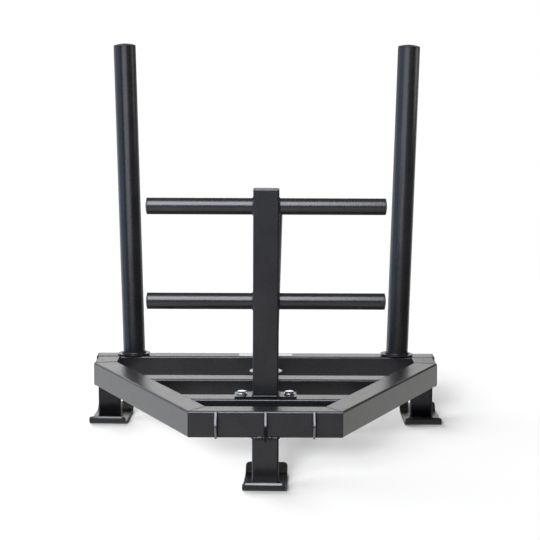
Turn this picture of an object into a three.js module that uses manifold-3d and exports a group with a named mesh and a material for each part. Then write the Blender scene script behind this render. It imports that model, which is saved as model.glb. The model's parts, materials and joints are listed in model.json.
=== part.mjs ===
// Push sled: a welded frame of square tube on three skis, with two lift-out push poles, a lift-out
// weight horn and a bolted post that carries two low push bars.
// Millimetres. X runs to the right, Y to the back, Z up. The origin lies on the floor, under the
// middle of the sled's outline.

import * as THREE from 'three';
import { mergeVertices } from 'three/addons/utils/BufferGeometryUtils.js';
import Module from 'manifold-3d';

const wasm = await Module();
wasm.setup();

// Square tube of the frame, the post and the feet
const tubeSize = 50;
const tubeWall = 3;
const tubeCorner = 4;

// Gap that welded and seated pieces keep, and how far a cutter runs past what it cuts
const seam = 0.3;
const overrun = 5;

// Plan of the frame, from its nose at the front to its rear crossbar
const noseWidth = 289;
const frameWidth = 740;
const frontBay = 66;
const middleBay = 157;
const rearBay = 224;
const sideRailLength = 81;
const frameTop = 142;

// Skis
const skiWidth = 80;
const skiThickness = 5;
const skiFlat = 118;
const skiBendRadius = 8;
const skiBendAngle = 45;
const skiTip = 19;
const skiCorner = 7;

// Pull lugs on the nose
const lugThickness = 5;
const lugPitch = 92;
const lugReach = 30;
const lugInset = 0.5;
const lugApexDrop = 20;
const lugApexHeight = 4;
const lugHole = 15;
const lugRound = 3;

// Lift-out uprights: push poles and weight horn share their tube, flange, spigot and socket
const poleDiameter = 48;
const poleWall = 3;
const poleHeight = 685;
const poleInset = 79.5;
const hornHeight = 342;
const hornSetback = 39;
const uprightLean = 1.5;
const flangeRim = 11;
const flangeThickness = 5;
const flangeBevel = 1;
const spigotDiameter = 32;
const spigotWall = 3;
const spigotLength = 78;
const socketWall = 2.5;
const socketLength = 85;

// Post and its bolted base plate
const plateWidth = 120;
const plateThickness = 5;
const plateCorner = 3;
const postHeight = 404;

// Push bars through the post
const barDiameter = 32;
const barWall = 2.5;
const barLength = 462;
const barHeadroom = 3.7;
const barSpacing = 183;

// Plastic end caps
const capHead = 4;
const capBevel = 1.5;
const capRim = 1.5;
const poleCapHead = 5.5;
const capPlug = 10;
const capRib = 1;
const capRibShares = [0.35, 0.75];
const crossbarCapHead = 3;

// Bolts that hold the base plate
const boltDiameter = 10;
const boltInset = 14;
const boltHeadWidth = 17;
const boltHeadHeight = 6.5;
const boltTail = 4;
const washerDiameter = 21;
const washerThickness = 2;
const nutHeight = 8;
const hexChamfer = 1.2;

// Facets round a full circle
const poleFacets = 32;
const barFacets = 24;
const holeFacets = 20;
const boltFacets = 12;
const cornerFacets = 3;
const easedFacets = 2;
const domeFacets = 3;
const plugFacets = 1;
const hexSides = 6;

// Places along Y, measured from the front face of the nose bar
const noseCentreY = tubeSize / 2;
const frontCrossbarY = tubeSize + frontBay + tubeSize / 2;
const middleCrossbarY = frontCrossbarY + middleBay + tubeSize;
const rearCrossbarY = middleCrossbarY + rearBay + tubeSize;
const mitreY = rearCrossbarY - tubeSize / 2 - sideRailLength;
const hornY = middleCrossbarY + tubeSize / 2 + hornSetback;

// Heights above the floor
const frameCentreZ = frameTop - tubeSize / 2;
const frameBottom = frameTop - tubeSize;
const plateTop = frameTop + seam + plateThickness;
const upperBarZ = frameTop + postHeight - capHead - capPlug - barHeadroom - barDiameter / 2;
const lowerBarZ = upperBarZ - barSpacing;

// Places along X
const sideRailX = (frameWidth - tubeSize) / 2;
const poleX = frameWidth / 2 - poleInset;
const boltX = plateWidth / 2 - boltInset;

// Uprights: each one leans about the middle of its socket, as far as the slack there lets it
const lean = THREE.MathUtils.degToRad(uprightLean);
const socketReach = socketLength / 2;
const socketBore = spigotDiameter + 2 * (seam + socketReach * Math.tan(lean));
const socketOuter = socketBore + 2 * socketWall;
const socketHole = socketOuter + 2 * seam;
const poleBore = poleDiameter - 2 * poleWall;
const barBore = barDiameter - 2 * barWall;
const flangeRadius = poleDiameter / 2 + flangeRim;
const flangeBase = (socketReach + seam + flangeRadius * Math.sin(lean)) / Math.cos(lean);
const boltHole = boltDiameter + 2 * seam;

const steel = new THREE.MeshStandardMaterial({ color: 0x2b2c2f, roughness: 0.55, metalness: 0.2 });
const plastic = new THREE.MeshStandardMaterial({ color: 0x151618, roughness: 0.7, metalness: 0 });
const zinc = new THREE.MeshStandardMaterial({ color: 0xc3c8cc, roughness: 0.3, metalness: 1 });

const sled = new THREE.Group();

function toSolid(geometry) {
  const bare = geometry.index ? geometry.toNonIndexed() : geometry.clone();
  bare.deleteAttribute('normal');
  bare.deleteAttribute('uv');
  const merged = mergeVertices(bare);
  return new wasm.Manifold(new wasm.Mesh({
    numProp: 3,
    vertProperties: new Float32Array(merged.attributes.position.array),
    triVerts: new Uint32Array(merged.index.array),
  }));
}

function toGeometry(solid) {
  const mesh = solid.getMesh();
  const geometry = new THREE.BufferGeometry();
  geometry.setAttribute('position', new THREE.BufferAttribute(mesh.vertProperties, 3));
  geometry.setIndex(new THREE.BufferAttribute(mesh.triVerts, 1));
  geometry.computeVertexNormals();
  return geometry;
}

function cut(geometry, ...tools) {
  let solid = toSolid(geometry);
  for (const tool of tools) {
    solid = solid.subtract(toSolid(tool));
  }
  return toGeometry(solid);
}

function join(first, second) {
  return toGeometry(toSolid(first).add(toSolid(second)));
}

function common(first, second) {
  return toGeometry(toSolid(first).intersect(toSolid(second)));
}

function addPart(parent, name, geometry, material, x = 0, y = 0, z = 0) {
  const mesh = new THREE.Mesh(geometry, material);
  mesh.name = name;
  mesh.position.set(x, y, z);
  parent.add(mesh);
  return mesh;
}

// Closed outline of a rectangle about the origin, with its corners rounded
function roundedRectangle(width, height, radius, Outline = THREE.Shape) {
  const x = width / 2;
  const y = height / 2;
  const r = Math.min(radius, x, y);
  const outline = new Outline();
  outline.moveTo(r - x, -y);
  outline.lineTo(x - r, -y);
  outline.absarc(x - r, r - y, r, -Math.PI / 2, 0, false);
  outline.lineTo(x, y - r);
  outline.absarc(x - r, y - r, r, 0, Math.PI / 2, false);
  outline.lineTo(r - x, y);
  outline.absarc(r - x, y - r, r, Math.PI / 2, Math.PI, false);
  outline.lineTo(-x, r - y);
  outline.absarc(r - x, r - y, r, Math.PI, 1.5 * Math.PI, false);
  return outline;
}

function extrude(shape, depth, facets = cornerFacets) {
  return new THREE.ExtrudeGeometry(shape, { depth, bevelEnabled: false, curveSegments: facets });
}

// Square tube standing on z = 0
function squareTube(length) {
  const shape = roundedRectangle(tubeSize, tubeSize, tubeCorner);
  const bore = tubeSize - 2 * tubeWall;
  const boreCorner = Math.max(tubeCorner - tubeWall, tubeWall / cornerFacets);
  shape.holes.push(roundedRectangle(bore, bore, boreCorner, THREE.Path));
  return extrude(shape, length);
}

// Revolved piece from [radius, height] pairs that start and end on the axis
function revolve(profile, facets) {
  return new THREE.LatheGeometry(profile.map(([r, h]) => new THREE.Vector2(r, h)), facets)
    .rotateX(Math.PI / 2);
}

// Round tube standing on z = 0
function roundTube(outer, bore, length, facets) {
  const profile = [
    [bore / 2, 0],
    [outer / 2, 0],
    [outer / 2, length],
    [bore / 2, length],
    [bore / 2, 0],
  ];
  return revolve(profile, facets);
}

// Round bar from z = 0 up, also used as a cutter
function rod(diameter, length, facets = holeFacets) {
  return new THREE.CylinderGeometry(diameter / 2, diameter / 2, length, facets)
    .rotateX(Math.PI / 2)
    .translate(0, 0, length / 2);
}

// Vertical cutter for a round hole through everything between two heights
function drill(diameter, x, y, bottom, top) {
  const length = top - bottom + 2 * overrun;
  return rod(diameter, length).translate(x, y, bottom - overrun);
}

// Frame members seen from above. A line is a point and a direction, and a member runs along its
// centreline between two end lines, which may be square to it, a mitre, or a neighbour's face.
function meet(line, other) {
  const cross = line.way.x * other.way.y - line.way.y * other.way.x;
  const gap = other.point.clone().sub(line.point);
  const along = (gap.x * other.way.y - gap.y * other.way.x) / cross;
  return line.point.clone().addScaledVector(line.way, along);
}

function frameMember(axis, startLine, endLine) {
  const across = new THREE.Vector2(-axis.way.y, axis.way.x);
  const halfWidth = tubeSize / 2 + overrun;
  const sides = [-halfWidth, halfWidth].map((offset) => (
    { point: axis.point.clone().addScaledVector(across, offset), way: axis.way }
  ));
  const corners = [
    meet(sides[0], startLine),
    meet(sides[0], endLine),
    meet(sides[1], endLine),
    meet(sides[1], startLine),
  ];
  const reach = corners.map((corner) => corner.clone().sub(axis.point).dot(axis.way));
  const start = Math.min(...reach) - overrun;
  const length = Math.max(...reach) + overrun - start;
  const begin = axis.point.clone().addScaledVector(axis.way, start);
  const tube = squareTube(length)
    .rotateX(Math.PI / 2)
    .rotateZ(Math.PI)
    .rotateZ(Math.atan2(-axis.way.x, axis.way.y))
    .translate(begin.x, begin.y, frameCentreZ);
  const block = extrude(new THREE.Shape(corners), tubeSize + 2 * overrun)
    .translate(0, 0, frameBottom - overrun);
  return common(tube, block);
}

function line(x, y, wayX, wayY) {
  return { point: new THREE.Vector2(x, y), way: new THREE.Vector2(wayX, wayY).normalize() };
}

// The same line moved sideways, to its left as seen along its way
function beside(source, offset) {
  const across = new THREE.Vector2(-source.way.y, source.way.x);
  return { point: source.point.clone().addScaledVector(across, offset), way: source.way };
}

function mirrored(source) {
  return line(-source.point.x, source.point.y, -source.way.x, source.way.y);
}

// Lines of the right half of the frame
const noseAxis = line(0, noseCentreY, 1, 0);
const outerNose = new THREE.Vector2(noseWidth / 2, 0);
const outerRear = new THREE.Vector2(frameWidth / 2, mitreY);
const flare = outerRear.clone().sub(outerNose);
const diagonalOuter = line(outerNose.x, outerNose.y, flare.x, flare.y);
const diagonalAxis = beside(diagonalOuter, tubeSize / 2);
const diagonalInner = beside(diagonalOuter, tubeSize);
const sideRailAxis = line(sideRailX, mitreY, 0, 1);
const frontMitreInner = meet(diagonalInner, line(0, tubeSize, 1, 0));
const rearMitreInner = meet(diagonalInner, line(sideRailX - tubeSize / 2, 0, 0, 1));
const frontMitre = line(
  outerNose.x,
  outerNose.y,
  frontMitreInner.x - outerNose.x,
  frontMitreInner.y - outerNose.y,
);
const rearMitre = line(
  outerRear.x,
  outerRear.y,
  rearMitreInner.x - outerRear.x,
  rearMitreInner.y - outerRear.y,
);
const rearCrossbarFace = line(0, rearCrossbarY - tubeSize / 2 - seam, 1, 0);
const crossbarStop = beside(diagonalInner, seam);

function makeFrame(group) {
  const noseEnd = beside(frontMitre, seam / 2);
  addPart(group, 'nose_bar', frameMember(noseAxis, mirrored(noseEnd), noseEnd), steel);

  const diagonalStart = beside(frontMitre, -seam / 2);
  const diagonalEnd = beside(rearMitre, seam / 2);
  const railStart = beside(rearMitre, -seam / 2);
  const same = (source) => source;
  for (const [side, place] of [['left', mirrored], ['right', same]]) {
    const diagonal = frameMember(place(diagonalAxis), place(diagonalStart), place(diagonalEnd));
    addPart(group, `${side}_diagonal`, diagonal, steel);
    const rail = frameMember(place(sideRailAxis), place(railStart), rearCrossbarFace);
    addPart(group, `${side}_side_rail`, rail, steel);
  }

  const frontBar = frameMember(line(0, frontCrossbarY, 1, 0), mirrored(crossbarStop), crossbarStop);
  const boltCutters = [-boltX, boltX].map((x) => (
    drill(boltHole, x, frontCrossbarY, frameBottom, frameTop)
  ));
  addPart(group, 'front_crossbar', cut(frontBar, ...boltCutters), steel);

  const middleBar = frameMember(line(0, middleCrossbarY, 1, 0), mirrored(crossbarStop), crossbarStop);
  addPart(group, 'middle_crossbar', middleBar, steel);

  const rearBar = squareTube(frameWidth)
    .rotateY(Math.PI / 2)
    .translate(-frameWidth / 2, rearCrossbarY, frameCentreZ);
  const socketCutters = [-poleX, poleX].map((x) => (
    drill(socketHole, x, rearCrossbarY, frameBottom, frameTop)
  ));
  addPart(group, 'rear_crossbar', cut(rearBar, ...socketCutters), steel);

  const spineStart = line(0, middleCrossbarY + tubeSize / 2 + seam, 1, 0);
  const spine = frameMember(line(0, middleCrossbarY, 0, 1), spineStart, rearCrossbarFace);
  const spineCutter = drill(socketHole, 0, hornY, frameBottom, frameTop);
  addPart(group, 'rear_spine', cut(spine, spineCutter), steel);

  for (const [side, sign] of [['left', -1], ['right', 1]]) {
    addPart(group, `rear_crossbar_${side}_cap`, squareCap(crossbarCapHead), plastic,
      sign * frameWidth / 2, rearCrossbarY, frameCentreZ).rotation.y = sign * Math.PI / 2;
  }
}

// Cap for an open square tube: a head with eased edges on a ribbed plug, resting on z = 0
function squareCap(head) {
  const bevel = Math.min(capBevel, head / 2);
  const side = tubeSize - 2 * bevel;
  const outline = roundedRectangle(side, side, Math.max(tubeCorner - bevel, bevel));
  const top = new THREE.ExtrudeGeometry(outline, {
    depth: head - 2 * bevel,
    bevelThickness: bevel,
    bevelSize: bevel,
    bevelSegments: easedFacets,
    curveSegments: easedFacets,
  }).translate(0, 0, bevel + seam);
  const fit = tubeSize - 2 * tubeWall - 2 * seam;
  const core = fit - 2 * capRib;
  const plug = extrude(roundedRectangle(core, core, capRib), capPlug + seam + bevel, plugFacets)
    .translate(0, 0, -capPlug);
  const rib = extrude(roundedRectangle(fit, fit, capRib), capRib, plugFacets);
  let cap = join(top, plug);
  for (const share of capRibShares) {
    cap = join(cap, rib.clone().translate(0, 0, -capPlug * share));
  }
  return cap;
}

// Cap for an open round tube: a low dome with a thin rim on a barbed plug, resting on z = 0
function roundCap(outer, bore, head, facets) {
  const fit = bore / 2 - seam;
  const core = fit - capRib;
  const rim = outer / 2;
  const rise = head - capRim;
  const sphere = (rim * rim + rise * rise) / (2 * rise);
  const edge = Math.asin(rim / sphere);
  const dome = Array.from({ length: domeFacets }, (_, step) => {
    const angle = edge * (1 - (step + 1) / domeFacets);
    return [sphere * Math.sin(angle), seam + head - sphere * (1 - Math.cos(angle))];
  });
  return revolve([
    [0, -capPlug],
    [core, -capPlug],
    [fit, -capPlug / 2],
    [core, capRib - capPlug / 2],
    [core, seam],
    [rim, seam],
    [rim, seam + capRim],
    ...dome,
  ], facets);
}

// Skis: a plate bent up at both ends, with rounded corners
function skiProfile() {
  const bend = THREE.MathUtils.degToRad(skiBendAngle);
  const centreZ = skiThickness + skiBendRadius;
  const outer = skiBendRadius + skiThickness;
  const flatEnd = skiFlat / 2;
  const down = -Math.PI / 2;
  const tip = new THREE.Vector2(Math.cos(bend), Math.sin(bend)).multiplyScalar(skiTip);
  const edge = (radius) => new THREE.Vector2(
    flatEnd + radius * Math.sin(bend),
    centreZ - radius * Math.cos(bend),
  ).add(tip);
  const low = edge(outer);
  const high = edge(skiBendRadius);
  const shape = new THREE.Shape();
  shape.moveTo(-flatEnd, 0);
  shape.lineTo(flatEnd, 0);
  shape.absarc(flatEnd, centreZ, outer, down, down + bend, false);
  shape.lineTo(low.x, low.y);
  shape.lineTo(high.x, high.y);
  shape.absarc(flatEnd, centreZ, skiBendRadius, down + bend, down, true);
  shape.lineTo(-flatEnd, skiThickness);
  shape.absarc(-flatEnd, centreZ, skiBendRadius, down, down - bend, true);
  shape.lineTo(-high.x, high.y);
  shape.lineTo(-low.x, low.y);
  shape.absarc(-flatEnd, centreZ, outer, down - bend, down, false);
  return { shape, length: 2 * low.x, height: high.y };
}

const ski = skiProfile();

function makeSki() {
  const plate = extrude(ski.shape, skiWidth)
    .rotateX(Math.PI / 2)
    .rotateZ(Math.PI / 2)
    .translate(-skiWidth / 2, 0, 0);
  const outline = extrude(roundedRectangle(skiWidth, ski.length, skiCorner), ski.height + 2 * overrun)
    .translate(0, 0, -overrun);
  return common(plate, outline);
}

function makeFoot(group, name, x, y) {
  const length = frameBottom - skiThickness - 2 * seam;
  addPart(group, `${name}_foot`, squareTube(length), steel, x, y, skiThickness + seam);
  addPart(group, `${name}_ski`, makeSki(), steel, x, y, 0);
}

// Pull lugs: plates that slope out from the nose to a blunt apex, with a hole for a hook
function makeLugs(group) {
  const top = tubeSize / 2 - lugInset;
  const apexTop = top - lugApexDrop;
  const apexBottom = apexTop - lugApexHeight;
  const shape = new THREE.Shape();
  shape.moveTo(0, -top);
  shape.lineTo(lugReach - lugRound, apexBottom - lugRound / 2);
  shape.quadraticCurveTo(lugReach, apexBottom, lugReach, (apexTop + apexBottom) / 2);
  shape.quadraticCurveTo(lugReach, apexTop, lugReach - lugRound, apexTop + lugRound / 2);
  shape.lineTo(0, top);
  const hole = new THREE.Path();
  hole.absarc(lugReach / 2, (apexTop + apexBottom) / 2, lugHole / 2, 0, 2 * Math.PI, true);
  shape.holes.push(hole);
  const plate = extrude(shape, lugThickness, holeFacets / 2)
    .rotateX(Math.PI / 2)
    .rotateZ(-Math.PI / 2)
    .translate(lugThickness / 2, 0, 0);
  const names = ['left', 'centre', 'right'];
  names.forEach((name, index) => {
    addPart(group, `${name}_pull_lug`, plate.clone(), steel,
      (index - 1) * lugPitch, -seam, frameCentreZ);
  });
}

// Uprights: a spigot, a flange with a bevelled upper rim, a tube and a domed cap on one leaning axis,
// and the socket that is welded through the frame
function makeUpright(group, name, height, x, y, side) {
  const socket = roundTube(socketOuter, socketBore, socketLength, barFacets);
  addPart(group, `${name}_socket`, socket, steel, x, y, frameTop - socketLength);

  const upright = new THREE.Group();
  upright.position.set(x, y, frameTop - socketReach);
  upright.rotation.y = side * lean;
  group.add(upright);

  const tubeBase = flangeBase + flangeThickness + seam;
  const tubeEnd = socketReach + height - poleCapHead - seam;
  const flange = revolve([
    [0, 0],
    [flangeRadius, 0],
    [flangeRadius, flangeThickness - flangeBevel],
    [flangeRadius - flangeBevel, flangeThickness],
    [0, flangeThickness],
  ], poleFacets);
  const spigot = roundTube(spigotDiameter, spigotDiameter - 2 * spigotWall, spigotLength, barFacets);
  const tube = roundTube(poleDiameter, poleBore, tubeEnd - tubeBase, poleFacets);
  const cap = roundCap(poleDiameter, poleBore, poleCapHead, poleFacets);
  addPart(upright, `${name}_spigot`, spigot, steel, 0, 0, flangeBase - seam - spigotLength);
  addPart(upright, `${name}_flange`, flange, steel, 0, 0, flangeBase);
  addPart(upright, `${name}_tube`, tube, steel, 0, 0, tubeBase);
  addPart(upright, `${name}_cap`, cap, plastic, 0, 0, tubeEnd);
}

// Post with its base plate, cap and two push bars
function makePost(group) {
  const plate = cut(
    extrude(roundedRectangle(plateWidth, tubeSize, plateCorner), plateThickness),
    ...[-boltX, boltX].map((x) => drill(boltHole, x, 0, 0, plateThickness)),
  );
  addPart(group, 'post_base_plate', plate, steel, 0, frontCrossbarY, frameTop + seam);

  const base = plateTop + seam;
  const length = frameTop + postHeight - capHead - seam - base;
  const barCutter = rod(barDiameter + 2 * seam, tubeSize + 2 * overrun, barFacets)
    .rotateY(Math.PI / 2)
    .translate(-tubeSize / 2 - overrun, 0, 0);
  const post = cut(
    squareTube(length),
    barCutter.clone().translate(0, 0, upperBarZ - base),
    barCutter.clone().translate(0, 0, lowerBarZ - base),
  );
  addPart(group, 'centre_post', post, steel, 0, frontCrossbarY, base);
  addPart(group, 'centre_post_cap', squareCap(capHead), plastic, 0, frontCrossbarY, base + length);

  const tubeLength = barLength - 2 * (capHead + seam);
  for (const [name, z] of [['upper', upperBarZ], ['lower', lowerBarZ]]) {
    const bar = roundTube(barDiameter, barBore, tubeLength, barFacets)
      .rotateY(Math.PI / 2)
      .translate(-tubeLength / 2, 0, 0);
    addPart(group, `${name}_bar`, bar, steel, 0, frontCrossbarY, z);
    for (const [side, sign] of [['left', -1], ['right', 1]]) {
      const cap = roundCap(barDiameter, barBore, capHead, barFacets);
      addPart(group, `${name}_bar_${side}_cap`, cap, plastic,
        sign * tubeLength / 2, frontCrossbarY, z).rotation.y = sign * Math.PI / 2;
    }
  }
}

// Hexagonal prism on z = 0 with its upper corners turned off
function hexagon(height) {
  const radius = boltHeadWidth / 2 / Math.cos(Math.PI / hexSides);
  const prism = new THREE.CylinderGeometry(radius, radius, height, hexSides)
    .rotateX(Math.PI / 2)
    .translate(0, 0, height / 2);
  const turned = revolve([
    [0, 0],
    [radius + hexChamfer, 0],
    [radius + hexChamfer, height - 2 * hexChamfer],
    [boltHeadWidth / 2 - hexChamfer / 2, height],
    [0, height],
  ], holeFacets);
  return common(prism, turned);
}

function makeFasteners(group) {
  const washer = roundTube(washerDiameter, boltHole, washerThickness, holeFacets);
  const underHead = plateTop + washerThickness + 2 * seam;
  const nutTop = frameBottom - washerThickness - 2 * seam;
  const shankLength = underHead - nutTop + nutHeight + boltTail;
  const shank = rod(boltDiameter, shankLength + overrun, boltFacets).translate(0, 0, -shankLength);
  const bolt = join(hexagon(boltHeadHeight), shank);
  const nut = cut(hexagon(nutHeight), drill(boltHole, 0, 0, 0, nutHeight));
  for (const [side, x] of [['left', -boltX], ['right', boltX]]) {
    const at = [x, frontCrossbarY];
    addPart(group, `${side}_base_bolt`, bolt.clone(), zinc, ...at, underHead);
    addPart(group, `${side}_upper_washer`, washer.clone(), zinc, ...at, plateTop + seam);
    addPart(group, `${side}_lower_washer`, washer.clone(), zinc, ...at,
      frameBottom - seam - washerThickness);
    addPart(group, `${side}_base_nut`, nut.clone(), zinc, ...at, nutTop - nutHeight);
  }
}

makeFrame(sled);
makeLugs(sled);
makeFoot(sled, 'front', 0, noseCentreY);
makeFoot(sled, 'rear_left', -sideRailX, rearCrossbarY);
makeFoot(sled, 'rear_right', sideRailX, rearCrossbarY);
makeUpright(sled, 'left_pole', poleHeight, -poleX, rearCrossbarY, -1);
makeUpright(sled, 'right_pole', poleHeight, poleX, rearCrossbarY, 1);
makeUpright(sled, 'weight_horn', hornHeight, 0, hornY, 1);
makePost(sled);
makeFasteners(sled);

// The front ski and the rear skis are the foremost and the rearmost points
const frontReach = noseCentreY - ski.length / 2;
const rearReach = rearCrossbarY + ski.length / 2;
sled.position.y = -(frontReach + rearReach) / 2;

export default sled;
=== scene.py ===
import json
import math

import bmesh
import bpy
from mathutils import Matrix, Vector
from mathutils.geometry import convex_hull_2d

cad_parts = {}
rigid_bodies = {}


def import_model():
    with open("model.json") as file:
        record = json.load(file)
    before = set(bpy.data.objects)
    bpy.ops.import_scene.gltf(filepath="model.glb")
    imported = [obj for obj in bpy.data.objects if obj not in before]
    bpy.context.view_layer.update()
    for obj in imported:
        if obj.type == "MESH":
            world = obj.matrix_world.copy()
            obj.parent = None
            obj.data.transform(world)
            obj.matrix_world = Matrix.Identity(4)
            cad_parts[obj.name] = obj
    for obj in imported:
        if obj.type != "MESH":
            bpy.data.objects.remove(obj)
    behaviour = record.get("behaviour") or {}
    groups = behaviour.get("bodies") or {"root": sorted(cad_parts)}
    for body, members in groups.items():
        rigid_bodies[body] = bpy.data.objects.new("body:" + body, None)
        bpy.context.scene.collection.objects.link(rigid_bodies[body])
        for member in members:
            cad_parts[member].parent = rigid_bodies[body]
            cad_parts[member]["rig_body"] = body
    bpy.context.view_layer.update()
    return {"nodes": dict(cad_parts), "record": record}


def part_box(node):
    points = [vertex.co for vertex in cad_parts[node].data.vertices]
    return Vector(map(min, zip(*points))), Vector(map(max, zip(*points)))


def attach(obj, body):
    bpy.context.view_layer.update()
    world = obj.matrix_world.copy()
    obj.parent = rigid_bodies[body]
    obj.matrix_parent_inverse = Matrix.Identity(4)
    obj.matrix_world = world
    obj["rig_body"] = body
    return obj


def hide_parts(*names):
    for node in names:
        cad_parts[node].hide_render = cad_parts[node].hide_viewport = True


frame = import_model()

# Push sled. Metres and degrees, +Z up, the nose towards -Y. The sled stands on z = 0.
UP, DOWN = (0, 0, 1), (0, 0, -1)
LEFT, RIGHT = (-1, 0, 0), (1, 0, 0)
FORWARD, BACKWARD = (0, -1, 0), (0, 1, 0)

# Camera, in front of the nose and a little lower than the pole tops
IMAGE_WIDTH = 540
FOCAL_PIXELS = 1679.3
SENSOR_WIDTH = 36
CAMERA_PLACE = Vector((-0.0003, -3.3859, 0.7754))
CAMERA_PITCH = 6.866
CAMERA_YAW = 0.142
CAMERA_ROLL = 0.239

# Colours of the finishes. A tint colours the head-on reflection.
COAT_DARK = (0.0060, 0.0060, 0.0064, 1)
COAT_LIGHT = (0.0115, 0.0115, 0.0120, 1)
NO_TINT = (1, 1, 1, 1)
COAT_TINT = (1.0, 0.965, 1.0, 1)
DULL_TINT = (1.0, 0.94, 0.88, 1)
PLASTIC_DARK = (0.016, 0.016, 0.017, 1)
PLASTIC_LIGHT = (0.0216, 0.0216, 0.02295, 1)
ZINC_BLUE = (0.72, 0.75, 0.79, 1)
ZINC_PALE = (0.86, 0.86, 0.84, 1)
PLATE_GREY = (0.49, 0.50, 0.51, 1)
PLATE_PALE = (0.58, 0.58, 0.58, 1)

# Nodes with the duller coat
DULL_NODES = ("left_diagonal", "right_diagonal")

# Roughness and reflection of the finishes
COAT_ROUGHNESS = 0.26
DULL_ROUGHNESS = 0.32
SKI_ROUGHNESS = 0.28
COAT_IOR = 1.5
DULL_IOR = 1.62
ROUGHNESS_SWING = 0.05
RUBBED_ROUGHNESS = 0.06
PLASTIC_ROUGHNESS = (0.42, 0.52)
ZINC_ROUGHNESS = (0.16, 0.30)
PLATE_ROUGHNESS = (0.22, 0.34)

# Relief of the finishes
CAST_DEPTH = 0.00006
PEEL_DEPTH = 0.00012
PLASTIC_DEPTH = 0.00004
METAL_DEPTH = 0.00002

# The stretch of a noise's values that a finish spreads over its whole range
MIDDLE = (0.35, 0.65)
WIDE = (0.3, 0.7)
PEAKS = (0.55, 0.75)

# How much a coat's clouds and its cast texture each move it from the dark colour to the light one
CLOUD_TONE = (0.0, 0.7)
CAST_TONE = (-0.1, 0.4)

# The brushed grain is drawn out along X
BRUSH_STRETCH = (0.02, 1, 1)

# Edges: width of the ease on hard edges, and the turn between two faces that makes their edge hard. Faces
# that turn less than the flat angle become one, and so do corners that lie at the same place.
EDGE_EASE = 0.0004
LUG_EASE = 0.0010
EASE_SEGMENTS = 2
HARD_ANGLE = 40
FLAT_ANGLE = 0.2
SAME_PLACE = 0.000002

# A node's flat end: how far it may face away from the direction asked for, how near to it its corners lie
# and the shortest stretch of its outline that counts
FACING_ANGLE = 60
FLAT = 0.0001
SHORTEST_SPAN = 0.00001

# Weld beads are rows of overlapping drops: the length of a drop, the cross-sections to a drop and the
# corners of a cross-section, then as shares how deep the drops are parted, how far they bow, how much
# they swell and how thick an open bead still is at its ends. A bead round a tube follows a ring.
BEAD_PITCH = 0.0034
BEAD_STEPS = 4
BEAD_SIDES = 8
BEAD_RIPPLE_SHARE = 0.16
BEAD_BOW_SHARE = 0.22
BEAD_SWELL_SHARE = 0.05
BEAD_END_SHARE = 0.2
FEWEST_DROPS = 3
RING_CORNERS = 48

# Radii of the beads. The thinnest are the lines left where a joint was ground flush.
FRAME_BEAD = 0.0024
ROUND_BEAD = 0.0020
LUG_BEAD = 0.0016
WING_BEAD = 0.0034
MITRE_BEAD = 0.0007
GROUND_BEAD = 0.00045
RAIL_BEADS = {"left": 0.0013, "right": 0.0005}

# The two short beads under the nose, left and right of the centre lug, from and to along X
WINGS = ((-0.018, -0.003), (0.003, 0.014))

# Fill of a joint ground flush beside a neighbour's rounded edge
FILL_UNDER = 0.001
FILL_OVER = 0.0048
FILL_DEPTH = 0.003
FILL_PROUD = 0.00008

# Blank plate on the rear crossbar
PLATE_SIZE = (0.118, 0.041, 0.0010)
PLATE_CORNER = 0.003
CORNER_STEPS = 6

# Skis, rolled up at both ends: the turn about the foot, the shift to the right and the extra length at
# the front end
SKI_THICKNESS = 0.005
SKI_HALF_LENGTH = 0.0803
SKI_BEND = 45
SKI_BEND_RADIUS = 0.013
SKI_BEND_STEPS = 6
SKI_FRONT_TIP = 0.015
SKI_REAR_TIP = 0.020
SKI_CORNER = 0.008
SKIS = {
    "front_ski": dict(turn=-2.2, shift=0.0, longer=0.0),
    "rear_left_ski": dict(turn=-2.0, shift=0.0031, longer=0.011),
    "rear_right_ski": dict(turn=0.0, shift=0.0, longer=0.012),
}

# Pull lugs: how far below its top a lug begins to slope back, its thickness as a share of the CAD
# node's, the shift to the right and the drop of the lower end
LUG_APEX_DROP = 0.024
LUG_THICKNESS_SHARE = 0.72
LUGS = {
    "left_pull_lug": dict(shift=-0.0006, drop=0.0027),
    "centre_pull_lug": dict(shift=0.0, drop=0.0080),
    "right_pull_lug": dict(shift=-0.0014, drop=0.0027),
}

# Base bolts: how far over the base plate the head is seated, and its height as a share of the CAD node's
HEAD_SEAT = 0.0021
HEAD_HEIGHT_SHARE = 0.6

# Flanges of the uprights: the bevel of the upper rim, how far the edge slopes in underneath and how far
# below the tube's end its weld runs. Then the thickness, how much is taken off the radius that round_end
# gives, which is about 1 mm over the CAD node's, and whether the flange lies level or leans with the tube.
FLANGE_ROUND = 0.0004
FLANGE_UNDERCUT = 0.0014
FLANGE_BEAD_DROP = 0.0015
FLANGE_CORNERS = 96
FLANGES = {
    "left_pole": dict(thickness=0.0027, trim=0.0, level=False),
    "right_pole": dict(thickness=0.0027, trim=0.0, level=False),
    "weight_horn": dict(thickness=0.0022, trim=0.0016, level=True),
}

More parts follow.
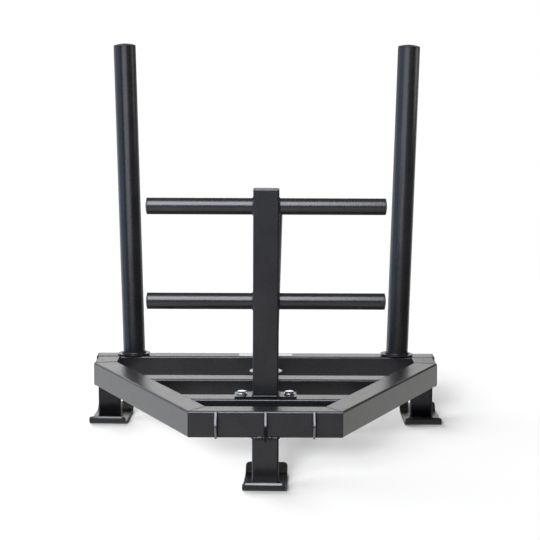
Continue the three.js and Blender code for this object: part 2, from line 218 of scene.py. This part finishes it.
# Panels that only reflections see. Each has the azimuth of its middle, counted from the front towards
# the sled's right, half its width, how wide its side edges fade, its lowest and highest elevation, its
# colour and its strength.
PANELS = (
    dict(azimuth=-165, half=10, fade=30, low=7, high=22, color=(1.0, 1.0, 1.0), strength=1.7),
    dict(azimuth=-88, half=27, fade=22, low=-70, high=60, color=(0.60, 0.81, 1.10), strength=1.15),
    dict(azimuth=-137, half=14, fade=14, low=-70, high=0, color=(1.0, 1.0, 1.0), strength=1.05),
    dict(azimuth=137, half=10, fade=14, low=-70, high=0, color=(1.0, 1.0, 1.0), strength=0.85),
    dict(azimuth=-14, half=12, fade=16, low=-70, high=-11, color=(1.0, 1.0, 1.0), strength=0.95),
    dict(azimuth=0, half=12, fade=33, low=-70, high=-4, color=(1.0, 1.0, 1.0), strength=0.22),
    dict(azimuth=0, half=20, fade=25, low=-6.5, high=2, color=(0.80, 0.90, 1.20), strength=0.35),
    dict(azimuth=0, half=180, fade=1, low=60, high=90, color=(1.15, 1.0, 0.85), strength=0.2),
    dict(azimuth=-70, half=30, fade=30, low=58, high=86, color=(1.15, 1.0, 0.85), strength=1.2),
    dict(azimuth=-165, half=20, fade=20, low=-90, high=-45, color=(1.0, 1.0, 1.0), strength=0.25),
)

# How far a panel's lower and upper edges fade, as a height on a sphere of radius 1
PANEL_SOFT = 0.05

# The world as reflections, matt surfaces and the camera see it where no panel is
SHADE = (0.08, 0.08, 0.08)
DOME = (0.05, 0.05, 0.05, 1)
BACKDROP = (1.0, 1.0, 1.0, 1)

# Pale floor
FLOOR_RADIUS = 3.0
FLOOR_CORNERS = 96
FLOOR_COLOR = (0.93, 0.93, 0.93, 1)
FLOOR_ROUGHNESS = 0.7

# Softboxes: place, target, width and height, and radiance. Each lights only the pieces whose names have
# the given ends, or spares those. Reflections show them all but the one that isn't mirrored.
SOFTBOXES = {
    "key": dict(place=(-0.52, -1.64, 1.82), target=(-0.52, -1.044, 1.017), size=(1.76, 1.85), glow=10.5,
                color=(0.92, 0.97, 1.05), spares=("floor", "_tube", "_ski", "left_foot", "right_foot")),
    "strip": dict(place=(-0.22, -1.25, 0.75), target=(0.45, -0.6, 0.75), size=(1.6, 1.1), glow=2.6,
                  color=(0.88, 0.95, 1.05), lights=("_tube", "_flange")),
    "high": dict(place=(-0.25, 0.03, 2.40), target=(-0.25, 0.02, 0.0), size=(1.6, 0.9), glow=11,
                 color=(0.88, 0.95, 1.07), lights=("_lug", "_post_cap")),
    "right": dict(place=(1.20, 0.30, 0.99), target=(0.3, 0.30, 0.95), size=(0.5, 0.76), glow=2.0,
                  spares=("floor",)),
    "fill": dict(place=(0.6, -1.2, 1.6), target=(0, 0, 0.3), size=(1.5, 1.5), glow=6, mirrored=False,
                 lights=("_tube", "_flange")),
    "front_lip": dict(place=(0, -0.57, 0.40), target=(0, -0.38, 0.012), size=(0.5, 0.2), glow=21,
                      color=(0.93, 0.97, 1.05), lights=("front_ski",)),
    "left_lip": dict(place=(-0.345, 0.195, 0.085), target=(-0.345, 0.20, 0.0), size=(0.07, 0.04), glow=8,
                     color=(0.93, 0.97, 1.05), lights=("rear_left_ski",)),
    "behind_feet": dict(place=(0, 0.47, 0.045), target=(0, 0.3, 0.045), size=(0.75, 0.085), glow=6.0,
                        color=(1.0, 0.97, 0.94), lights=("left_foot", "right_foot")),
    "under_lugs": dict(place=(0, -0.30, 0.008), target=(0, -0.30, 1), size=(0.30, 0.09), glow=1.6,
                       lights=("left_pull_lug", "right_pull_lug")),
    "behind_tops": dict(place=(-0.1, 3.3, 0.95), target=(0, 0, 0.15), size=(3.2, 0.9), glow=0.42,
                        lights=("_diagonal", "horn_flange")),
    "behind_horn": dict(place=(0, 3.3, 0.95), target=(0, 0, 0.15), size=(1.0, 0.9), glow=0.6,
                        lights=("horn_flange",)),
    "crossbar_edge": dict(place=(0, -1.6, 0.33), target=(0, 0.27, 0.148), size=(1.3, 0.2), glow=3.2,
                          lights=("rear_crossbar",)),
    "behind_right_tops": dict(place=(0.95, 3.3, 0.95), target=(0.3, 0, 0.15), size=(1.6, 0.9), glow=0.24,
                              lights=("rear_crossbar", "middle_crossbar")),
}

# Suns that light only the floor: direction, strength, and the angle that softens the shadows. Only the
# pieces whose names have the given ends cast these. With the dome they make the open floor white.
FEET = ("_foot", "_ski")
LOW_PARTS = ("nose_bar", "_diagonal", "_side_rail", "_crossbar", *FEET)
SUNS = {
    "from_the_front": dict(way=(0.22, 1, -0.30), strength=3.9, angle=13, blockers=LOW_PARTS),
    "from_the_front_left": dict(way=(0.5, 1, -0.5), strength=1.5, angle=22, blockers=LOW_PARTS),
    "from_behind": dict(way=(0.6, -1.6, -0.75), strength=1.2, angle=30, blockers=FEET),
    "from_the_left": dict(way=(1, -0.25, -0.6), strength=2.2, angle=70, blockers=FEET),
}


def add_object(name, data):
    made = bpy.data.objects.new(name, data)
    bpy.context.scene.collection.objects.link(made)
    return made


def make_camera():
    """The photo's view."""
    data = bpy.data.cameras.new("camera")
    data.sensor_width = SENSOR_WIDTH
    data.lens = FOCAL_PIXELS / IMAGE_WIDTH * SENSOR_WIDTH
    camera = add_object("camera", data)
    camera.rotation_mode = "XYZ"
    pitch = Matrix.Rotation(math.radians(90 - CAMERA_PITCH), 4, "X")
    yaw = Matrix.Rotation(math.radians(-CAMERA_YAW), 4, "Z")
    roll = Matrix.Rotation(math.radians(CAMERA_ROLL), 4, "Z")
    camera.matrix_world = Matrix.Translation(CAMERA_PLACE) @ yaw @ pitch @ roll
    bpy.context.scene.camera = camera


class Nodes:
    """Short names for the nodes that the finishes and the studio share."""

    def __init__(self, tree, coordinates):
        self.tree = tree
        self.place = self.node("ShaderNodeTexCoord").outputs[coordinates]

    def node(self, kind, inputs=None, **settings):
        """Adds a node with its settings, and with a value or a link on each of the named inputs."""
        made = self.tree.nodes.new(kind)
        for key, value in settings.items():
            setattr(made, key, value)
        for key, value in (inputs or {}).items():
            self.feed(made.inputs[key], value)
        return made

    def feed(self, socket, value):
        """Gives an input its value, or links it to the output that has the value."""
        if isinstance(value, bpy.types.NodeSocket):
            self.tree.links.new(value, socket)
        else:
            socket.default_value = value

    def noise(self, scale, detail, roughness=0.5, place=None):
        inputs = {"Vector": place or self.place, "Scale": scale, "Detail": detail, "Roughness": roughness}
        return self.node("ShaderNodeTexNoise", inputs).outputs["Fac"]

    def stretched(self, scale):
        return self.node("ShaderNodeMapping", {"Vector": self.place, "Scale": scale}).outputs["Vector"]

    def remap(self, value, source, result=(0.0, 1.0), ease="LINEAR"):
        """Spreads a stretch of values over another one, and holds what lies outside to its ends."""
        inputs = {"Value": value, "From Min": source[0], "From Max": source[1],
                  "To Min": result[0], "To Max": result[1]}
        return self.node("ShaderNodeMapRange", inputs, interpolation_type=ease).outputs["Result"]

    def math(self, operation, first, second=0.0):
        return self.node("ShaderNodeMath", {0: first, 1: second}, operation=operation).outputs[0]

    def vector_math(self, operation, inputs):
        return self.node("ShaderNodeVectorMath", inputs, operation=operation).outputs["Vector"]

    def mix(self, share, first, second):
        made = self.node("ShaderNodeMix", data_type="RGBA")
        self.feed(made.inputs["Factor"], share)
        self.feed(made.inputs["A"], first)
        self.feed(made.inputs["B"], second)
        return made.outputs["Result"]


class Shader(Nodes):
    """A node material in the making."""

    def __init__(self, name):
        self.material = bpy.data.materials.new(name)
        self.material.use_nodes = True
        super().__init__(self.material.node_tree, "Object")
        self.surface = next(node for node in self.tree.nodes if node.type == "BSDF_PRINCIPLED")

    def bump(self, height, distance, normal=None):
        made = self.node("ShaderNodeBump", {"Height": height, "Distance": distance, "Strength": 1.0})
        if normal is not None:
            self.feed(made.inputs["Normal"], normal)
        return made.outputs["Normal"]

    def set(self, **values):
        for key, value in values.items():
            self.feed(self.surface.inputs[key.replace("_", " ")], value)


def powder_coat(name, roughness, ior=COAT_IOR, tint=NO_TINT):
    """Satin black powder coat: a fine cast texture over a faint orange peel."""
    coat = Shader(name)
    cloud = coat.noise(scale=14, detail=3)
    cast = coat.noise(scale=1500, detail=2)
    peel = coat.noise(scale=260, detail=2)
    rubbed = coat.noise(scale=38, detail=6, roughness=0.65)
    tone = coat.math("ADD", coat.remap(cloud, MIDDLE, CLOUD_TONE), coat.remap(cast, MIDDLE, CAST_TONE))
    satin = coat.remap(cast, WIDE, (roughness - ROUGHNESS_SWING, roughness + ROUGHNESS_SWING))
    worn = coat.remap(rubbed, PEAKS, (0.0, RUBBED_ROUGHNESS))
    coat.set(Base_Color=coat.mix(tone, COAT_DARK, COAT_LIGHT))
    coat.set(Roughness=coat.math("ADD", satin, worn))
    coat.set(Normal=coat.bump(cast, CAST_DEPTH, coat.bump(peel, PEEL_DEPTH)), IOR=ior, Specular_Tint=tint)
    return coat.material


def moulded_plastic(name):
    """Black plastic with a fine moulded grain."""
    plastic = Shader(name)
    grain = plastic.noise(scale=1100, detail=3)
    plastic.set(Base_Color=plastic.mix(plastic.remap(grain, MIDDLE), PLASTIC_DARK, PLASTIC_LIGHT))
    plastic.set(Roughness=plastic.remap(plastic.noise(scale=60, detail=3), WIDE, PLASTIC_ROUGHNESS))
    plastic.set(Normal=plastic.bump(grain, PLASTIC_DEPTH))
    return plastic.material


def zinc_plate(name):
    """Bright zinc on the bolts, with faint clouds."""
    zinc = Shader(name)
    cloud = zinc.noise(scale=180, detail=3)
    zinc.set(Base_Color=zinc.mix(zinc.remap(cloud, WIDE), ZINC_BLUE, ZINC_PALE), Metallic=1.0)
    zinc.set(Roughness=zinc.remap(zinc.noise(scale=420, detail=2), WIDE, ZINC_ROUGHNESS))
    zinc.set(Normal=zinc.bump(zinc.noise(scale=900, detail=2), METAL_DEPTH))
    return zinc.material


def brushed_plate(name):
    """Pale metal with a grain brushed along it."""
    plate = Shader(name)
    grain = plate.noise(scale=1400, detail=2, place=plate.stretched(BRUSH_STRETCH))
    plate.set(Base_Color=plate.mix(grain, PLATE_GREY, PLATE_PALE), Metallic=1.0)
    plate.set(Roughness=plate.remap(grain, WIDE, PLATE_ROUGHNESS))
    plate.set(Normal=plate.bump(grain, METAL_DEPTH))
    return plate.material


materials = {
    "frame_paint": powder_coat("satin_black_powder_coat", COAT_ROUGHNESS, tint=COAT_TINT),
    "dull_frame_paint": powder_coat("dull_black_powder_coat", DULL_ROUGHNESS, DULL_IOR, DULL_TINT),
    "ski_paint": powder_coat("ski_powder_coat", SKI_ROUGHNESS),
    "cap_plastic": moulded_plastic("moulded_black_plastic"),
    "zinc": zinc_plate("bright_zinc"),
    "plate": brushed_plate("brushed_pale_plate"),
}


def ease_edges(obj, width=EDGE_EASE):
    """Smooth shading over the facets of round faces, with a small ease on every hard edge."""
    for polygon in obj.data.polygons:
        polygon.use_smooth = True
    merge = obj.modifiers.new("merge", "WELD")
    merge.merge_threshold = SAME_PLACE
    flat = obj.modifiers.new("flat", "DECIMATE")
    flat.decimate_type = "DISSOLVE"
    flat.angle_limit = math.radians(FLAT_ANGLE)
    ease = obj.modifiers.new("ease", "BEVEL")
    ease.width = width
    ease.segments = EASE_SEGMENTS
    ease.limit_method = "ANGLE"
    ease.angle_limit = math.radians(HARD_ANGLE)
    ease.use_clamp_overlap = True
    flatten = obj.modifiers.new("flatten", "WEIGHTED_NORMAL")
    flatten.mode = "FACE_AREA"
    flatten.keep_sharp = True


def dress_cad_nodes():
    """The finish and the eased edges of every CAD node."""
    slots = {part["node"]: part["material_slot"] for part in frame["record"]["subparts"]}
    for name, obj in frame["nodes"].items():
        obj.data.materials.clear()
        obj.data.materials.append(materials["dull_frame_paint" if name in DULL_NODES else slots[name]])
        ease_edges(obj, LUG_EASE if name.endswith("_lug") else EDGE_EASE)


def add_piece(name, build, like, material):
    """Turns a mesh in the making into a piece that moves with the CAD node it is fixed to."""
    mesh = bpy.data.meshes.new(name)
    bmesh.ops.recalc_face_normals(build, faces=build.faces)
    build.to_mesh(mesh)
    build.free()
    for polygon in mesh.polygons:
        polygon.use_smooth = True
    mesh.materials.append(material)
    piece = add_object(name, mesh)
    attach(piece, frame["nodes"][like]["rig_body"])
    return piece


def join_rings(build, rings, closed=False):
    """Faces from each ring of corners to the next, and over the two ends of an open row of rings."""
    pairs = zip(rings, rings[1:] + rings[:1]) if closed else zip(rings, rings[1:])
    for first, second in pairs:
        for near in range(len(first)):
            far = (near + 1) % len(first)
            build.faces.new((first[near], first[far], second[far], second[near]))
    if not closed:
        build.faces.new(rings[0])
        build.faces.new(rings[-1])


def end_of(node, way):
    """Corners of the flat end of a CAD node that lies furthest along a direction, and its normal."""
    mesh = frame["nodes"][node].data
    way = Vector(way)
    least = math.cos(math.radians(FACING_ANGLE))
    facing = [polygon for polygon in mesh.polygons if polygon.normal.dot(way) > least]
    normal = max(facing, key=lambda polygon: polygon.center.dot(way)).normal.copy()
    level = max(corner.co.dot(normal) for corner in mesh.vertices)
    corners = [corner.co.copy() for corner in mesh.vertices if level - corner.co.dot(normal) < FLAT]
    return corners, normal


# A rail for a weld bead is its points, the direction that the bead faces and whether it closes on itself
def end_loop(node, way):
    """The outline of an end as a closed rail."""
    points, normal = end_of(node, way)
    across = normal.orthogonal().normalized()
    up = normal.cross(across)
    hull = convex_hull_2d([(point.dot(across), point.dot(up)) for point in points])
    return [points[i] for i in hull], normal, True


def end_edges(node, way, along):
    """The two straight edges of an end that run along a direction, each as an open rail."""
    points, normal = end_of(node, way)
    along = Vector(along)
    across = normal.cross(along).normalized()
    reach = [point.dot(across) for point in points]
    rails = []
    for limit in (min(reach), max(reach)):
        edge = [point for point, at in zip(points, reach) if abs(at - limit) < FLAT]
        edge.sort(key=lambda point: point.dot(along))
        rails.append(([edge[0], edge[-1]], normal, False))
    return rails


def ring(centre, axis, radius, corners=RING_CORNERS):
    """A circle round an axis as a closed rail."""
    axis = Vector(axis)
    across = axis.orthogonal().normalized() * radius
    turns = [Matrix.Rotation(math.tau * i / corners, 3, axis) for i in range(corners)]
    return [Vector(centre) + turn @ across for turn in turns], axis, True


def round_end(node, way):
    """Middle, direction and radius of a CAD node's round end, the first and last only to about 1 mm.

    The outline holds one of its 32 corners twice, which draws the middle towards that corner by 1.1 mm on a
    flange and 0.7 mm on a tube, and adds as much to the radius.
    """
    points, normal, _ = end_loop(node, way)
    middle = sum(points, Vector()) / len(points)
    return middle, normal, (points[0] - middle).length


def spans_of(points, closed):
    """The straight stretches of a rail: where each begins and ends, and its length."""
    ends = points[1:] + points[:1] if closed else points[1:]
    return [(start, end, (end - start).length) for start, end in zip(points, ends)]


def walk(points, closed, count):
    """Evenly spaced places along a rail, each with its direction."""
    spans = [span for span in spans_of(points, closed) if span[2] > SHORTEST_SPAN]
    step = sum(length for _, _, length in spans) / (count if closed else count - 1)
    places = []
    index = 0
    passed = 0.0
    for i in range(count):
        at = i * step
        while at > passed + spans[index][2] and index < len(spans) - 1:
            passed += spans[index][2]
            index += 1
        start, end, length = spans[index]
        places.append((start.lerp(end, min(1.0, (at - passed) / length)), (end - start) / length))
    return places


def lay_bead(build, rail, radius):
    """One weld bead along a rail, tapered at the ends of an open one."""
    points, normal, closed = rail
    length = sum(span[2] for span in spans_of(points, closed))
    count = max(FEWEST_DROPS, round(length / BEAD_PITCH)) * BEAD_STEPS + (0 if closed else 1)
    rings = []
    for i, (place, way) in enumerate(walk(points, closed, count)):
        up = (normal - way * normal.dot(way)).normalized()
        side = way.cross(up)
        size = radius * (1 + BEAD_SWELL_SHARE * math.sin(i / BEAD_STEPS))
        if not closed:
            to_end = min(1.0, min(i, count - 1 - i) / BEAD_STEPS)
            size *= math.sqrt(max(BEAD_END_SHARE ** 2, 1 - (1 - to_end) ** 2))
        corners = []
        for j in range(BEAD_SIDES):
            angle = math.tau * j / BEAD_SIDES
            drop = i / BEAD_STEPS + BEAD_BOW_SHARE * math.cos(2 * angle)
            reach = size * (1 - BEAD_RIPPLE_SHARE * (1 - abs(math.cos(math.pi * drop))))
            outward = math.cos(angle) * up + math.sin(angle) * side
            corners.append(build.verts.new(place + reach * outward))
        rings.append(corners)
    join_rings(build, rings, closed)


def weld(name, like, rails, radius):
    """The beads along some rails, as one piece."""
    build = bmesh.new()
    for rail in rails:
        lay_bead(build, rail, radius)
    add_piece(name, build, like, materials["frame_paint"])


def ground_fill(name, node, way):
    """Flat fills over and under a joint that was ground flush with the frame's top and bottom."""
    low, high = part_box(node)
    level = Vector(UP).cross(end_of(node, way)[1])
    build = bmesh.new()
    for points, normal, _ in end_edges(node, way, level):
        outward = Vector(UP if points[0].z > (low.z + high.z) / 2 else DOWN)
        corners = []
        for end in points:
            for out in (-FILL_UNDER, FILL_OVER):
                for height in (-FILL_DEPTH, FILL_PROUD):
                    corners.append(build.verts.new(end + normal * out + outward * height))
        bmesh.ops.convex_hull(build, input=corners)
    fill = add_piece(name, build, node, materials["frame_paint"])
    for polygon in fill.data.polygons:
        polygon.use_smooth = False


def weld_frame():
    """Crossbars and spine, with beads up their sides and ground flush above and below. Then the mitres."""
    for bar in ("front_crossbar", "middle_crossbar"):
        weld(f"{bar}_welds", bar, end_edges(bar, LEFT, UP) + end_edges(bar, RIGHT, UP), FRAME_BEAD)
        for side, way in (("left", LEFT), ("right", RIGHT)):
            ground_fill(f"{bar}_{side}_fill", bar, way)
    spine = "rear_spine"
    spine_edges = end_edges(spine, FORWARD, UP) + end_edges(spine, BACKWARD, UP)
    weld(f"{spine}_welds", spine, spine_edges, FRAME_BEAD)
    for side, way in (("front", FORWARD), ("rear", BACKWARD)):
        ground_fill(f"{spine}_{side}_fill", spine, way)
    weld("nose_welds", "nose_bar", [end_loop("nose_bar", way) for way in (LEFT, RIGHT)], GROUND_BEAD)
    for side, bead in RAIL_BEADS.items():
        rail = f"{side}_side_rail"
        weld(f"{rail}_welds", rail, [end_loop(rail, BACKWARD)], bead)
        weld(f"{rail}_mitre_weld", rail, [end_loop(rail, FORWARD)], MITRE_BEAD)


def weld_feet():
    """Each foot is welded all round, to the frame above it and to its ski."""
    for foot in ("front_foot", "rear_left_foot", "rear_right_foot"):
        weld(f"{foot}_welds", foot, [end_loop(foot, way) for way in (UP, DOWN)], FRAME_BEAD)


def weld_lugs():
    """Beads up both sides of each lug, and two short ones under the nose beside the centre one."""
    for lug in LUGS:
        weld(f"{lug}_welds", lug, end_edges(lug, BACKWARD, UP), LUG_BEAD)
    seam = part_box("front_foot")[0].y
    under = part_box("nose_bar")[0].z
    wings = []
    for start, end in WINGS:
        wings.append(([Vector((start, seam, under)), Vector((end, seam, under))], Vector(FORWARD), False))
    weld("centre_pull_lug_foot_welds", "front_foot", wings, WING_BEAD)


def weld_uprights():
    """Each socket is welded in from below, and each tube is welded to its flange."""
    for upright in FLANGES:
        low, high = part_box(f"{upright}_socket")
        centre = (low + high) / 2
        centre.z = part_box("nose_bar")[0].z
        socket_ring = ring(centre, UP, (high.x - low.x) / 2)
        weld(f"{upright}_socket_weld", f"{upright}_socket", [socket_ring], ROUND_BEAD)
        foot, down, radius = round_end(f"{upright}_tube", DOWN)
        foot_ring = ring(foot + down * FLANGE_BEAD_DROP, -down, radius)
        weld(f"{upright}_flange_weld", f"{upright}_tube", [foot_ring], ROUND_BEAD)


def weld_post():
    """Each push bar is welded on both sides of the post, and the post all round its foot."""
    post_low, post_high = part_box("centre_post")
    for bar in ("upper_bar", "lower_bar"):
        low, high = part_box(bar)
        centre = (low + high) / 2
        radius = (high.z - low.z) / 2
        rings = [ring((x, centre.y, centre.z), RIGHT, radius) for x in (post_low.x, post_high.x)]
        weld(f"{bar}_welds", bar, rings, ROUND_BEAD)
    weld("post_foot_weld", "centre_post", [end_loop("centre_post", DOWN)], ROUND_BEAD)


def make_blank_plate():
    """Plain bright plate on the rear crossbar."""
    width, depth, thickness = PLATE_SIZE
    low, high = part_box("rear_crossbar")
    middle = Vector((0, (low.y + high.y) / 2, high.z))
    build = bmesh.new()
    outline = []
    for quarter, (right, back) in enumerate(((1, 1), (-1, 1), (-1, -1), (1, -1))):
        corner = Vector((right * (width / 2 - PLATE_CORNER), back * (depth / 2 - PLATE_CORNER), 0))
        for step in range(CORNER_STEPS + 1):
            angle = math.pi / 2 * (quarter + step / CORNER_STEPS)
            rounding = PLATE_CORNER * Vector((math.cos(angle), math.sin(angle), 0))
            outline.append(build.verts.new(middle + corner + rounding))
    face = build.faces.new(outline)
    top = bmesh.ops.extrude_face_region(build, geom=[face])
    raised = [part for part in top["geom"] if isinstance(part, bmesh.types.BMVert)]
    bmesh.ops.translate(build, verts=raised, vec=(0, 0, thickness))
    plate = add_piece("blank_plate", build, "rear_crossbar", materials["plate"])
    ease_edges(plate)


# Pieces that follow the photographed sled closer than the CAD nodes they stand for
stand_ins = {}


def stand_in(name, build, node, slot, ease=EDGE_EASE):
    """A piece that is shown in place of a CAD node."""
    piece = add_piece(name, build, node, materials[slot])
    ease_edges(piece, ease)
    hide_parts(node)
    stand_ins[name] = piece


def reshape(node, name, slot, move, ease=EDGE_EASE):
    """The node's own form with its corners moved."""
    build = bmesh.new()
    build.from_mesh(frame["nodes"][node].data)
    for corner in build.verts:
        corner.co = move(corner.co)
    stand_in(name, build, node, slot, ease)


def ski_side(tip, reach):
    """Half of a ski seen from the side: places along its underside, the turn of the plate at each and the
    distance from there to the tip along the plate."""
    outer = SKI_BEND_RADIUS + SKI_THICKNESS
    bend = math.radians(SKI_BEND)
    bend_at = reach - outer * math.sin(bend) - tip * math.cos(bend)
    stations = [(Vector((0, 0, 0)), 0.0, tip + outer * bend + bend_at)]
    for step in range(SKI_BEND_STEPS + 1):
        turn = bend * step / SKI_BEND_STEPS
        place = Vector((0, bend_at + outer * math.sin(turn), outer * (1 - math.cos(turn))))
        stations.append((place, turn, tip + outer * (bend - turn)))
    along = Vector((0, math.cos(bend), math.sin(bend)))
    bend_end = stations[-1][0]
    for step in range(CORNER_STEPS + 1):
        gone = SKI_CORNER * math.sin(math.pi / 2 * step / CORNER_STEPS)
        stations.append((bend_end + along * (tip - SKI_CORNER + gone), bend, SKI_CORNER - gone))
    return stations


def make_ski(node, turn, shift, longer):
    """A plate rolled up at both ends, with rounded corners, and welded on a little askew."""
    low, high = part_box(node)
    centre = (low + high) / 2
    centre.z = 0
    half_width = (high.x - low.x) / 2
    front = []
    for place, turned, to_tip in ski_side(SKI_FRONT_TIP, SKI_HALF_LENGTH + longer):
        front.append((Vector((0, -place.y, place.z)), -turned, to_tip))
    stations = front[:0:-1] + ski_side(SKI_REAR_TIP, SKI_HALF_LENGTH)
    about = Matrix.Rotation(math.radians(turn), 3, "Z")
    build = bmesh.new()
    rings = []
    for place, turned, to_tip in stations:
        cut = max(0.0, SKI_CORNER - to_tip)
        reach = half_width - SKI_CORNER + math.sqrt(max(0.0, SKI_CORNER ** 2 - cut ** 2))
        thick = Vector((0, -math.sin(turned), math.cos(turned))) * SKI_THICKNESS
        corners = []
        for x, layer in ((-reach, 0), (reach, 0), (reach, 1), (-reach, 1)):
            spot = Vector((x + shift, place.y, place.z)) + thick * layer
            corners.append(build.verts.new(centre + about @ spot))
        rings.append(corners)
    join_rings(build, rings)
    stand_in(f"rolled_{node}", build, node, "ski_paint")


def trim_lug(node, shift, drop):
    """A pull lug as thin as the photographed one, whose lower end reaches further down."""
    low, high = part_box(node)
    middle = (low.x + high.x) / 2
    apex = high.z - LUG_APEX_DROP

    def move(place):
        x = middle + shift + (place.x - middle) * LUG_THICKNESS_SHARE
        z = place.z
        if z < apex:
            z = apex - (apex - z) * (1 + drop / (apex - low.z))
        return Vector((x, place.y, z))

    reshape(node, f"thin_{node}", "frame_paint", move, LUG_EASE)


def flatten_bolt(node):
    """A base bolt with a lower head."""
    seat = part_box("post_base_plate")[1].z + HEAD_SEAT

    def move(place):
        z = place.z
        if z > seat:
            z = seat + (z - seat) * HEAD_HEIGHT_SHARE
        return Vector((place.x, place.y, z))

    reshape(node, f"low_{node}", "zinc", move)


def make_flange(upright, thickness, trim, level):
    """A thin flange with a hub that reaches up to the tube. It leans with the tube, or lies level."""
    node = f"{upright}_flange"
    base, down, radius = round_end(node, DOWN)
    foot, _, hub = round_end(f"{upright}_tube", DOWN)
    if level:
        down = Vector(DOWN)
        base.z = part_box(node)[0].z
    rim = radius - trim
    profile = (
        (rim - FLANGE_UNDERCUT, 0),
        (rim, thickness - FLANGE_ROUND),
        (rim - FLANGE_ROUND, thickness),
        (hub, thickness),
        (hub, (foot - base).length),
    )
    build = bmesh.new()
    rings = []
    for reach, height in profile:
        points = ring(base - down * height, -down, reach, FLANGE_CORNERS)[0]
        rings.append([build.verts.new(point) for point in points])
    join_rings(build, rings)
    stand_in(f"thin_{node}", build, node, "frame_paint")


def make_stand_ins():
    for node, settings in SKIS.items():
        make_ski(node, **settings)
    for node, settings in LUGS.items():
        trim_lug(node, **settings)
    for side in ("left", "right"):
        flatten_bolt(f"{side}_base_bolt")
    for upright, settings in FLANGES.items():
        make_flange(upright, **settings)


def edge_band(elevation):
    """The heights between which a panel's upper or lower edge fades."""
    height = math.sin(math.radians(elevation))
    return height - PANEL_SOFT, height + PANEL_SOFT


def panel_light(sky, axes, level, panel):
    """The light of a panel by direction. Level is how much of the direction lies along the ground."""
    x, y, z = axes
    turn = math.radians(panel["azimuth"])
    sideways = sky.math("MULTIPLY", x, math.sin(turn))
    ahead = sky.math("ADD", sideways, sky.math("MULTIPLY", y, -math.cos(turn)))
    off = sky.math("DEGREES", sky.math("ARCCOSINE", sky.math("DIVIDE", ahead, level)))
    across = sky.remap(off, (panel["half"], panel["half"] + panel["fade"]), (1.0, 0.0), "SMOOTHSTEP")
    rise = sky.remap(z, edge_band(panel["low"]), ease="SMOOTHSTEP")
    fall = sky.remap(z, edge_band(panel["high"]), (1.0, 0.0), "SMOOTHSTEP")
    share = sky.math("MULTIPLY", across, sky.math("MULTIPLY", rise, fall))
    glow = [panel["strength"] * part for part in panel["color"]]
    return sky.vector_math("SCALE", {0: glow, "Scale": share})


def make_world():
    """White for the camera, a dim dome for matt surfaces and the panels for reflections."""
    world = bpy.data.worlds.new("studio")
    world.use_nodes = True
    world.cycles.sampling_method = "NONE"
    sky = Nodes(world.node_tree, "Generated")
    x, y, z = sky.node("ShaderNodeSeparateXYZ", {0: sky.place}).outputs
    level = sky.math("SQRT", sky.math("ADD", sky.math("MULTIPLY", x, x), sky.math("MULTIPLY", y, y)))
    total = SHADE
    for panel in PANELS:
        total = sky.vector_math("ADD", {0: total, 1: panel_light(sky, (x, y, z), level, panel)})
    ray = sky.node("ShaderNodeLightPath").outputs
    seen = sky.mix(ray["Is Camera Ray"], sky.mix(ray["Is Glossy Ray"], DOME, total), BACKDROP)
    background = next(node for node in sky.tree.nodes if node.type == "BACKGROUND")
    sky.feed(background.inputs["Color"], seen)
    bpy.context.scene.world = world


def make_floor():
    """A plain pale disc that reflections don't show."""
    mesh = bpy.data.meshes.new("floor")
    build = bmesh.new()
    bmesh.ops.create_circle(build, cap_ends=True, radius=FLOOR_RADIUS, segments=FLOOR_CORNERS)
    build.to_mesh(mesh)
    build.free()
    paint = Shader("pale_floor")
    paint.set(Base_Color=FLOOR_COLOR, Roughness=FLOOR_ROUGHNESS)
    mesh.materials.append(paint.material)
    floor = add_object("floor", mesh)
    floor.visible_glossy = False
    return floor


def gather(name, ends, state="INCLUDE"):
    """A light group of the CAD nodes, stand-ins and floor whose names have one of the given ends."""
    group = bpy.data.collections.new(name)
    for candidate, obj in {**frame["nodes"], **stand_ins, "floor": floor}.items():
        if candidate.endswith(ends):
            group.objects.link(obj)
    for member in group.collection_objects:
        member.light_linking.link_state = state
    return group


def add_lamp(name, data, way):
    """A lamp that shines along a direction."""
    lamp = add_object(name, data)
    lamp.rotation_mode = "QUATERNION"
    lamp.rotation_quaternion = Vector(way).to_track_quat("-Z", "Y")
    return lamp


def softbox(name, place, target, size, glow, color=(1, 1, 1), lights=(), spares=(), mirrored=True):
    """Area light of a given radiance that the camera doesn't see, and reflections only where mirrored."""
    data = bpy.data.lights.new(name, "AREA")
    data.shape = "RECTANGLE"
    data.size, data.size_y = size
    data.energy = glow * math.pi * data.size * data.size_y
    data.color = color
    lamp = add_lamp(name, data, Vector(target) - Vector(place))
    lamp.location = place
    lamp.visible_camera = False
    lamp.visible_glossy = mirrored
    lit = gather(f"by_{name}", lights) if lights else gather(f"not_by_{name}", spares, "EXCLUDE")
    lamp.light_linking.receiver_collection = lit


def sun(name, way, strength, angle, blockers):
    """Even light from one side for the floor alone, softened over an angle."""
    data = bpy.data.lights.new(name, "SUN")
    data.energy = strength
    data.angle = math.radians(angle)
    lamp = add_lamp(name, data, way)
    lamp.light_linking.receiver_collection = gather(f"lit_{name}", ("floor",))
    lamp.light_linking.blocker_collection = gather(f"shading_{name}", blockers)


make_camera()
dress_cad_nodes()
make_stand_ins()
weld_frame()
weld_feet()
weld_lugs()
weld_uprights()
weld_post()
make_blank_plate()

make_world()
floor = make_floor()
for name, settings in SOFTBOXES.items():
    softbox(name, **settings)
for name, settings in SUNS.items():
    sun(name, **settings)
bpy.context.scene.view_settings.view_transform = "Standard"
